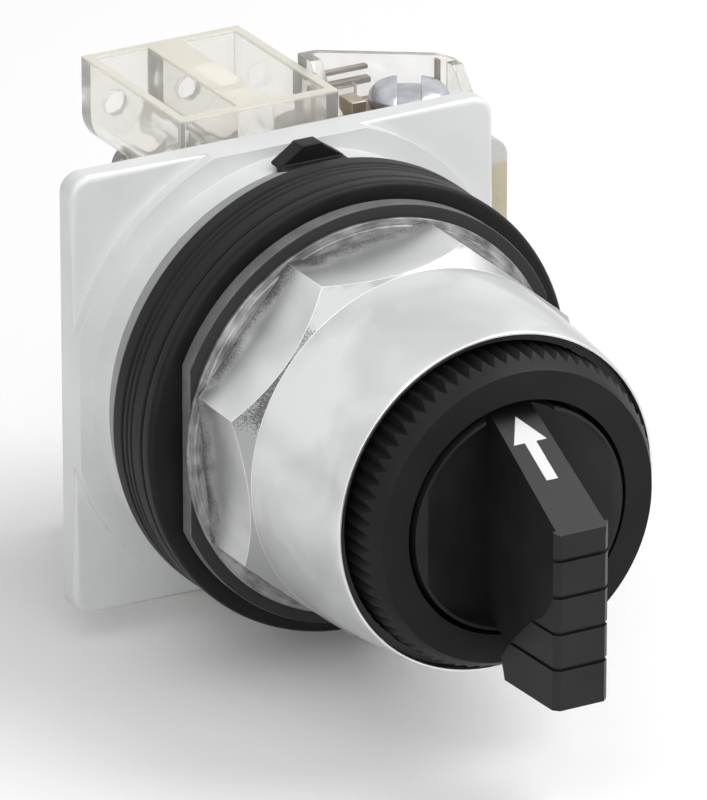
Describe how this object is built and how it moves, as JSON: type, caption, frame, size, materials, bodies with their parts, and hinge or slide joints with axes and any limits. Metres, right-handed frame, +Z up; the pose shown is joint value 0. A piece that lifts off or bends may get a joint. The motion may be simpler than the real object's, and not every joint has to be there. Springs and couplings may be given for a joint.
{
  "type": "selector switch",
  "caption": "Panel selector switch with a lever knob on a threaded barrel, an octagonal chromed ring nut, trim washers and clear plug-in contact blocks behind the base plate.",
  "frame": {"origin": "on the barrel's axis at the panel seat, the front face of the front trim washer", "axes": "-Y out of the panel towards the hand, +Z up to the locating tab, +X to the right seen from the front"},
  "size_m": [0.046, 0.0762, 0.0468],
  "materials": {
    "base_casting": "pale grey finish with a soft sheen",
    "grey_plastic": "mid grey, satin",
    "black_washer": "black, satin",
    "seal_rubber": "dark grey rubber",
    "dull_steel": "rough, mottled grey",
    "nut_chrome": "bright chrome, satin blasted shoulders",
    "knob_plastic": "black, low gloss",
    "white_inlay": "white",
    "cam_plastic": "natural off-white moulding",
    "contact_silver": "silver, satin",
    "bronze_strip": "phosphor bronze strip",
    "amber_clear": "clear moulding with an amber tint",
    "clear_plastic": "clear moulding",
    "plated_steel": "zinc plated"
  },
  "bodies": {
    "operator": {"operator_base": "base_casting", "locating_ring": "grey_plastic", "tab_washer": "black_washer", "trim_washer_1": "black_washer", "trim_washer_2": "black_washer", "trim_washer_3": "black_washer", "front_trim_washer": "black_washer", "panel_gasket": "seal_rubber", "clamp_washer": "dull_steel", "ring_nut": "nut_chrome", "shroud_seal": "seal_rubber", "retaining_ring": "knob_plastic", "hub_seal": "seal_rubber", "detent_plate": "plated_steel", "centre_block_base": "amber_clear", "centre_block_cover": "amber_clear", "centre_plunger_spring": "plated_steel", "centre_fixed_strips": "bronze_strip", "centre_fixed_contacts": "contact_silver", "centre_terminal_screws": "plated_steel", "right_block_base": "clear_plastic", "right_block_cover": "clear_plastic", "right_plunger_spring": "plated_steel", "right_strip_top": "bronze_strip", "right_strip_bottom": "bronze_strip", "right_fixed_contacts": "contact_silver", "right_terminal_screws": "plated_steel", "block_screws": "plated_steel"},
    "knob": {"selector_knob": "knob_plastic", "pointer_arrow": "white_inlay", "knob_spindle": "plated_steel", "rotary_cam": "cam_plastic", "detent_balls": "plated_steel", "detent_springs": "plated_steel"},
    "left_pusher": {"left_pusher": "cam_plastic"},
    "right_pusher": {"right_pusher": "cam_plastic"},
    "centre_plunger": {"centre_plunger": "cam_plastic", "centre_bridge_left": "bronze_strip", "centre_bridge_right": "bronze_strip", "centre_bridge_contacts": "contact_silver"},
    "right_plunger": {"right_plunger": "cam_plastic", "right_bridge": "bronze_strip", "right_bridge_contacts": "contact_silver"}
  },
  "joints": [
    {"name": "knob_turn", "type": "hinge", "parent": "operator", "child": "knob", "pos_m": [0, 0, 0], "axis": [0, -1, 0], "range_deg": [-45, 45]},
    {"name": "left_pusher_slide", "type": "slide", "parent": "operator", "child": "left_pusher", "axis": [0, 1, 0], "range_m": [-0.0017, 0.0017]},
    {"name": "right_pusher_slide", "type": "slide", "parent": "operator", "child": "right_pusher", "axis": [0, 1, 0], "range_m": [-0.0017, 0.0017]},
    {"name": "centre_plunger_slide", "type": "slide", "parent": "operator", "child": "centre_plunger", "axis": [0, 1, 0], "range_m": [-0.0017, 0.0017], "deforming": ["centre_plunger_spring"]},
    {"name": "right_plunger_slide", "type": "slide", "parent": "operator", "child": "right_plunger", "axis": [0, 1, 0], "range_m": [-0.0017, 0.0017], "deforming": ["right_plunger_spring"]}
  ],
  "couplings": [
    {"joint": "right_pusher_slide", "follows": "knob_turn", "m_per_rad": 0.002035},
    {"joint": "right_plunger_slide", "follows": "knob_turn", "m_per_rad": 0.002035},
    {"joint": "left_pusher_slide", "follows": "knob_turn", "m_per_rad": -0.002035},
    {"joint": "centre_plunger_slide", "follows": "knob_turn", "m_per_rad": -0.002035}
  ]
}
